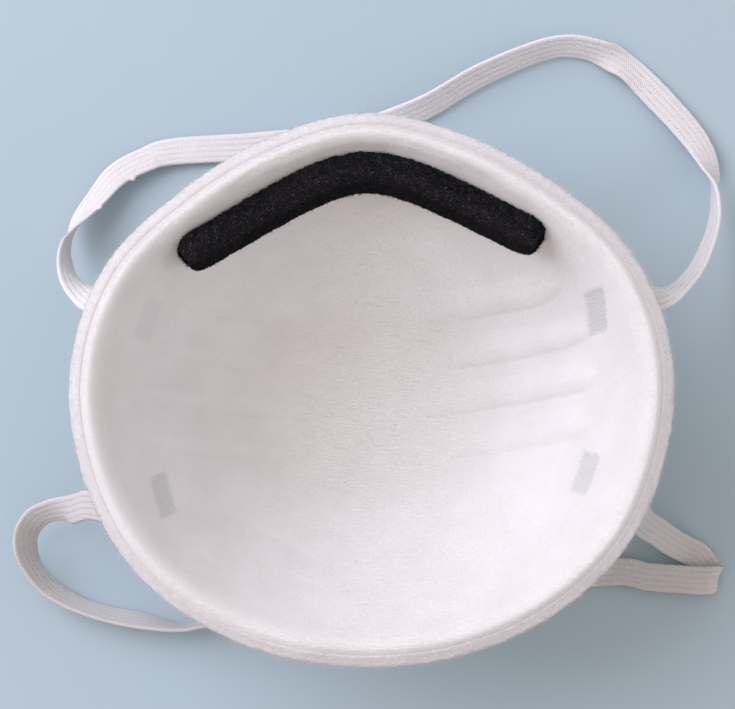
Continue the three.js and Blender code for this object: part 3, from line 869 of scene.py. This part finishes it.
class Finish:
    """A material under construction. Sockets that are given a socket are joined, others get the value."""

    def __init__(self, name):
        self.material = bpy.data.materials.new(name)
        self.material.use_nodes = True
        self.tree = self.material.node_tree
        self.shader = self.tree.nodes["Principled BSDF"]

    def give(self, socket, value):
        if isinstance(value, bpy.types.NodeSocket):
            self.tree.links.new(value, socket)
        else:
            socket.default_value = value

    def add(self, kind, settings=(), **inputs):
        made = self.tree.nodes.new("ShaderNode" + kind)
        for key, value in dict(settings).items():
            setattr(made, key, value)
        for key, value in inputs.items():
            self.give(made.inputs[key.replace("_", " ")], value)
        return made

    def calc(self, operation, *values):
        made = self.add("Math", {"operation": operation})
        for socket, value in zip(made.inputs, values):
            self.give(socket, value)
        return made.outputs[0]

    def plus(self, first, second):
        return self.calc("ADD", first, second)

    def minus(self, first, second):
        return self.calc("SUBTRACT", first, second)

    def times(self, first, second):
        return self.calc("MULTIPLY", first, second)

    def apart(self, first, second):
        """How far apart two values are."""
        return self.calc("ABSOLUTE", self.minus(first, second))

    def wave(self, value, pitch):
        """A sine wave of that pitch, from -1 to 1."""
        return self.calc("SINE", self.times(value, TURN / pitch))

    def place(self):
        """Place on the object, in metres."""
        return self.add("TexCoord").outputs["Object"]

    def attribute(self, name):
        """A vector stored on the mesh, with its distances in millimetres."""
        return self.add("Attribute", {"attribute_name": name}).outputs["Vector"]

    def split(self, vector):
        return self.add("SeparateXYZ", Vector=vector).outputs

    def stretched(self, vector, scale, turn):
        return self.add("Mapping", Vector=vector, Scale=scale, Rotation=turn).outputs[0]

    def grain(self, vector, scale, detail=3.0, roughness=0.55, distortion=0.0):
        """Cloudy noise around a half, with about that many grains to a unit of length."""
        return self.add("TexNoise", Vector=vector, Scale=scale, Detail=detail, Roughness=roughness,
                        Distortion=distortion).outputs["Fac"]

    def range(self, value, low, high, to_low=0.0, to_high=1.0, smooth=False):
        """Turns low into to_low and high into to_high, with a straight or a smooth rise between."""
        settings = {"interpolation_type": "SMOOTHSTEP"} if smooth else ()
        return self.add("MapRange", settings, Value=value, From_Min=low, From_Max=high, To_Min=to_low,
                        To_Max=to_high).outputs[0]

    def blend(self, share, first, second):
        """The first colour, with a share of the second in its place."""
        made = self.add("Mix", {"data_type": "RGBA"})
        self.give(made.inputs[0], share)
        self.give(made.inputs[6], first)
        self.give(made.inputs[7], second)
        return made.outputs[2]

    def bump(self, height, distance, strength=1.0):
        return self.add("Bump", Height=height, Distance=distance, Strength=strength).outputs[0]

    def surface(self, **values):
        """Sets the shader's own sockets."""
        for key, value in values.items():
            self.give(self.shader.inputs[key.replace("_", " ")], value)


def felt_height(finish, place):
    """Matted short fibres: fine grain with hair-like streaks lying three ways over it."""
    grain = finish.grain(place, 1500, detail=4.0, roughness=0.62)
    streaks = None
    for k, turn in enumerate(((0.2, 0.1, 0.4), (0.3, 0.2, 1.5), (0.1, 0.4, 2.6))):
        lying = finish.stretched(place, (420, 3600, 3600), turn)
        hair = finish.range(finish.grain(lying, 1.0 + 0.13 * k, detail=2.0, distortion=1.1), 0.52, 0.74)
        streaks = hair if streaks is None else finish.calc("MAXIMUM", streaks, hair)
    return finish.plus(finish.times(grain, 0.75), finish.times(streaks, 0.45)), streaks


def stamp_mask(finish, ragged):
    """How much of a weld stamp shows, and the uneven cross lines pressed into it."""
    along, across, level = finish.split(finish.attribute("stamp"))
    strength = finish.split(finish.attribute("stamp_clearness"))[0]
    reach = finish.plus(along, finish.times(ragged, 2.6))
    spread = finish.plus(across, finish.times(ragged, 3.0))
    half_length, half_width = STAMP_LENGTH / 2, STAMP_WIDTH / 2
    inside = finish.times(finish.range(reach, half_length - 0.5, half_length + 0.6, 1, 0, smooth=True),
                          finish.range(spread, half_width - 0.9, half_width + 0.7, 1, 0, smooth=True))
    lines = finish.wave(finish.plus(level, finish.times(ragged, 1.6)), STAMP_LINE_PITCH)
    return finish.times(inside, strength), finish.range(lines, -1.0, 1.0)


def painted_groove_shade(finish, place, inset):
    """Painted shade along the weld groove, which fades out between the left cheek and the chin."""
    x, y, _ = finish.split(place)
    depth = finish.range(finish.plus(x, y), -0.08, -0.02, 0.1, 1.0)
    from_groove = finish.apart(inset, WELDED_EDGE[0] + 0.4)
    return finish.times(finish.range(from_groove, 0.2, 1.5, 0.22, 0, smooth=True), depth)


def felt_finish(name, light, dark, stamp_colour, stamp_share, bump_size):
    """White felt with its weld stamps, painted shade on the flat front, a knurled flange and painted shade
    along the weld groove.
    """
    finish = Finish(name)
    place = finish.place()
    height, streaks = felt_height(finish, place)
    clouds = finish.grain(place, 95, detail=3.0)
    fine = finish.grain(place, 2600, detail=2.0)
    shade = finish.plus(finish.times(clouds, 0.55), finish.times(fine, 0.45))
    colour = finish.blend(finish.range(shade, 0.36, 0.62), dark, light)
    colour = finish.blend(finish.times(streaks, 0.18), colour, HAIR_WHITE)
    # Painted shade, darker towards the bottom of the cup.
    painted_front_shade = finish.range(finish.split(place)[2], *FRONT_SHADE_FADE, 0.24, 0, smooth=True)
    colour = finish.blend(painted_front_shade, colour, FRONT_PAINTED_SHADE)

    mask, lines = stamp_mask(finish, finish.minus(fine, 0.5))
    line_share = finish.plus(finish.times(lines, 0.22), 0.58)
    colour = finish.blend(finish.times(finish.times(mask, line_share), stamp_share), colour, stamp_colour)

    around, inset, _ = finish.split(finish.attribute("rim"))
    on_flange = finish.range(inset, *FLANGE_FADE, 1, 0, smooth=True)
    blotches = finish.range(finish.grain(place, 620, detail=3.0), 0.42, 0.6, 0.02, 0.16)
    colour = finish.blend(finish.times(on_flange, blotches), colour, FLANGE_BLOTCH)
    # Painted shade along the weld groove.
    colour = finish.blend(painted_groove_shade(finish, place, inset), colour, GROOVE_PAINTED_SHADE)

    knurl = finish.times(finish.wave(around, KNURL_AROUND), finish.wave(inset, KNURL_ACROSS))
    knurl = finish.times(knurl, finish.times(on_flange, 0.22))
    pressed = finish.times(mask, finish.minus(lines, 1.2))
    relief = finish.plus(finish.plus(height, knurl), finish.times(pressed, 0.5))
    finish.surface(Base_Color=colour, Roughness=0.95, Normal=finish.bump(relief, bump_size, 0.8),
                   Sheen_Weight=0.12, Sheen_Roughness=0.5, Specular_IOR_Level=0.2)
    finish.surface(Subsurface_Weight=0.12, Subsurface_Scale=0.0012, Subsurface_Radius=(1.0, 0.95, 0.92))
    return finish.material


def foam_finish():
    """Black open cells, with lighter struts and specks on the side towards the rim."""
    finish = Finish("foam")
    place = finish.place()
    cells = finish.add("TexVoronoi", {"feature": "DISTANCE_TO_EDGE"}, Vector=place, Scale=1900.0)
    struts = finish.range(cells.outputs["Distance"], 0.0, 0.28, 1, 0)
    speck_grain = finish.grain(place, 2900, detail=3.0)
    clumps = finish.range(finish.grain(place, 800, detail=2.0), 0.4, 0.6)
    to_rim = finish.range(finish.split(finish.attribute("lie"))[1], -0.1, 0.3, 0.3, 1.0, smooth=True)
    speck = finish.times(finish.range(speck_grain, 0.53, 0.68), finish.times(clumps, to_rim))
    colour = finish.blend(finish.times(struts, to_rim), FOAM_BLACK, FOAM_STRUT)
    colour = finish.blend(speck, colour, FOAM_SPECK_GREY)
    height = finish.plus(struts, finish.times(speck_grain, 0.3))
    finish.surface(Base_Color=colour, Roughness=0.9, Normal=finish.bump(height, 0.0003, 1.0),
                   Specular_IOR_Level=0.12)
    return finish.material


def elastic_finish():
    """Knitted stitches on parallel cords, with painted shade in the channels between them and between
    stitches, looped edges and welded ends.
    """
    finish = Finish("braided_elastic")
    along, across, from_end = finish.split(finish.attribute("weave"))
    place = finish.place()
    half_width = BAND_WIDTH / 2
    cord = finish.times(finish.plus(across, half_width), BAND_CORDS / BAND_WIDTH)
    beside = finish.apart(finish.calc("FRACT", cord), 0.5)
    channel = finish.range(beside, 0.22, 0.5, smooth=True)
    odd = finish.times(finish.calc("FLOOR", cord), 0.5)
    slant = finish.plus(finish.times(along, 1 / STITCH_PITCH), finish.times(beside, 1.5))
    stitch = finish.range(finish.wave(finish.plus(slant, odd), 1), -0.8, 0.9)
    lint = finish.grain(place, 2700, detail=4.0, roughness=0.65)
    channel_shade_patches = finish.range(finish.grain(place, 210, detail=3.0), 0.4, 0.62)
    height = finish.plus(finish.times(stitch, 0.6), finish.times(lint, 0.8))
    height = finish.minus(height, finish.times(channel, 0.35))

    # Painted shade in the channels between cords and between stitches, in patches, with darker lint on it.
    dark = finish.times(channel, finish.plus(finish.times(channel_shade_patches, 0.24), 0.11))
    dark = finish.plus(dark, finish.times(finish.minus(1.0, stitch), 0.34))
    dark = finish.plus(dark, finish.range(lint, 0.62, 0.38, 0, 0.3))
    colour = finish.blend(dark, ELASTIC_WHITE, ELASTIC_SHADE)
    outer_loops = finish.range(finish.calc("ABSOLUTE", across), half_width - 0.5, half_width - 0.1, 0, 0.6)
    colour = finish.blend(outer_loops, colour, ELASTIC_LOOPS)
    # Painted shade over the whole lower band, by the share stored on it.
    colour = finish.blend(finish.split(finish.attribute("band_shade_share"))[0], colour, ELASTIC_PAINTED_SHADE)
    from_weld = finish.apart(from_end, WELD_CENTRE)
    weld = finish.range(from_weld, WELD_LENGTH / 2 - 0.2, WELD_LENGTH / 2 + 0.3, 1, 0)
    colour = finish.blend(finish.times(weld, 0.5), colour, ELASTIC_WELD)
    finish.surface(Base_Color=colour, Roughness=0.9, Normal=finish.bump(height, 0.00022, 0.9),
                   Sheen_Weight=0.05, Sheen_Roughness=0.45, Specular_IOR_Level=0.2)
    return finish.material


# ------------------------------------------------------------------ camera, floor and light

# The camera looks straight down.
CAMERA_PLACE = (-0.00064, 0.00782, 0.5)
CAMERA_TURN = math.radians(-1.85)
CAMERA_LENS = 101.2
FLOOR_SIZE = 3
FLOOR_DROP = 0.0003  # the floor lies a hair below the front panel

SKY_COLOUR = (1.0, 0.875, 0.82, 1)
SKY_STRENGTH = 0.63

# Round lamps: name, place, width, power, colour.
LAMPS = (
    ("key", (-0.75, 0.5, 0.75), 1.1, 13.4, (0.875, 0.855, 1.0)),
    ("overhead", (-0.15, 0.15, 1.3), 2.2, 1.2, (1.0, 1.0, 0.96)),
    ("low_fill", (0.95, -0.1, 0.42), 0.5, 1.5, (0.68, 0.78, 1.0)),
)


def set_camera():
    data = bpy.data.cameras.new("camera")
    data.lens = CAMERA_LENS
    data.sensor_width = 36  # millimetres, as the lens is
    data.clip_start = 0.01
    camera = bpy.data.objects.new("camera", data)
    camera.location = CAMERA_PLACE
    camera.rotation_euler = (0, 0, CAMERA_TURN)
    bpy.context.collection.objects.link(camera)
    bpy.context.scene.camera = camera


def make_floor():
    bm = bmesh.new()
    bmesh.ops.create_grid(bm, x_segments=2, y_segments=2, size=FLOOR_SIZE)
    bmesh.ops.translate(bm, verts=bm.verts, vec=(0, 0, -FLOOR_DROP))
    mesh = bpy.data.meshes.new("floor")
    bm.to_mesh(mesh)
    bm.free()
    floor = bpy.data.objects.new("floor", mesh)
    bpy.context.collection.objects.link(floor)
    finish = Finish("floor_paint")
    finish.surface(Base_Color=FLOOR_BLUE, Roughness=0.9, Specular_IOR_Level=0.1)
    mesh.materials.append(finish.material)


def add_lamp(name, place, size, power, colour):
    """A round lamp that faces the object."""
    data = bpy.data.lights.new(name, "AREA")
    data.shape = "DISK"
    data.size = size
    data.energy = power
    data.color = colour
    lamp = bpy.data.objects.new(name, data)
    lamp.location = place
    lamp.rotation_euler = Vector(place).to_track_quat("Z", "Y").to_euler()
    bpy.context.collection.objects.link(lamp)


def light_scene():
    """An even warm sky and the lamps."""
    world = bpy.data.worlds.new("studio")
    world.use_nodes = True
    background = world.node_tree.nodes["Background"]
    background.inputs["Color"].default_value = SKY_COLOUR
    background.inputs["Strength"].default_value = SKY_STRENGTH
    bpy.context.scene.world = world
    for lamp in LAMPS:
        add_lamp(*lamp)
    bpy.context.scene.view_settings.view_transform = "Standard"


# ------------------------------------------------------------------ putting it together

set_camera()

elastic = elastic_finish()
upper = make_band("upper_band", UPPER_BAND_ROUTE, UPPER_BAND_SEED, 0.0)
upper.data.materials.append(elastic)
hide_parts("upper_headband")
lower = make_band("lower_band", LOWER_BAND_ROUTE, LOWER_BAND_SEED, LOWER_BAND_SHADE_SHARE)
lower.data.materials.append(elastic)
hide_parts("lower_headband")

liner = make_liner()
liner.data.materials.append(felt_finish("liner_felt", LINER_LIGHT, LINER_DARK, LINER_STAMP, 0.75, 0.00022))
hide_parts("inner_liner")

shell_material = felt_finish("shell_felt", SHELL_LIGHT, SHELL_DARK, SHELL_STAMP, 0.7, 0.0002)
shell = make_shell()
shell.data.materials.append(shell_material)
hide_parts("outer_shell")
rim_fibres = make_rim_fibres()
rim_fibres.data.materials.append(shell_material)

foam_material = foam_finish()
foam = make_foam()
foam.data.materials.append(foam_material)
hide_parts("nose_foam")
foam_fibres = make_foam_fibres()
foam_fibres.data.materials.append(foam_material)

make_floor()
light_scene()
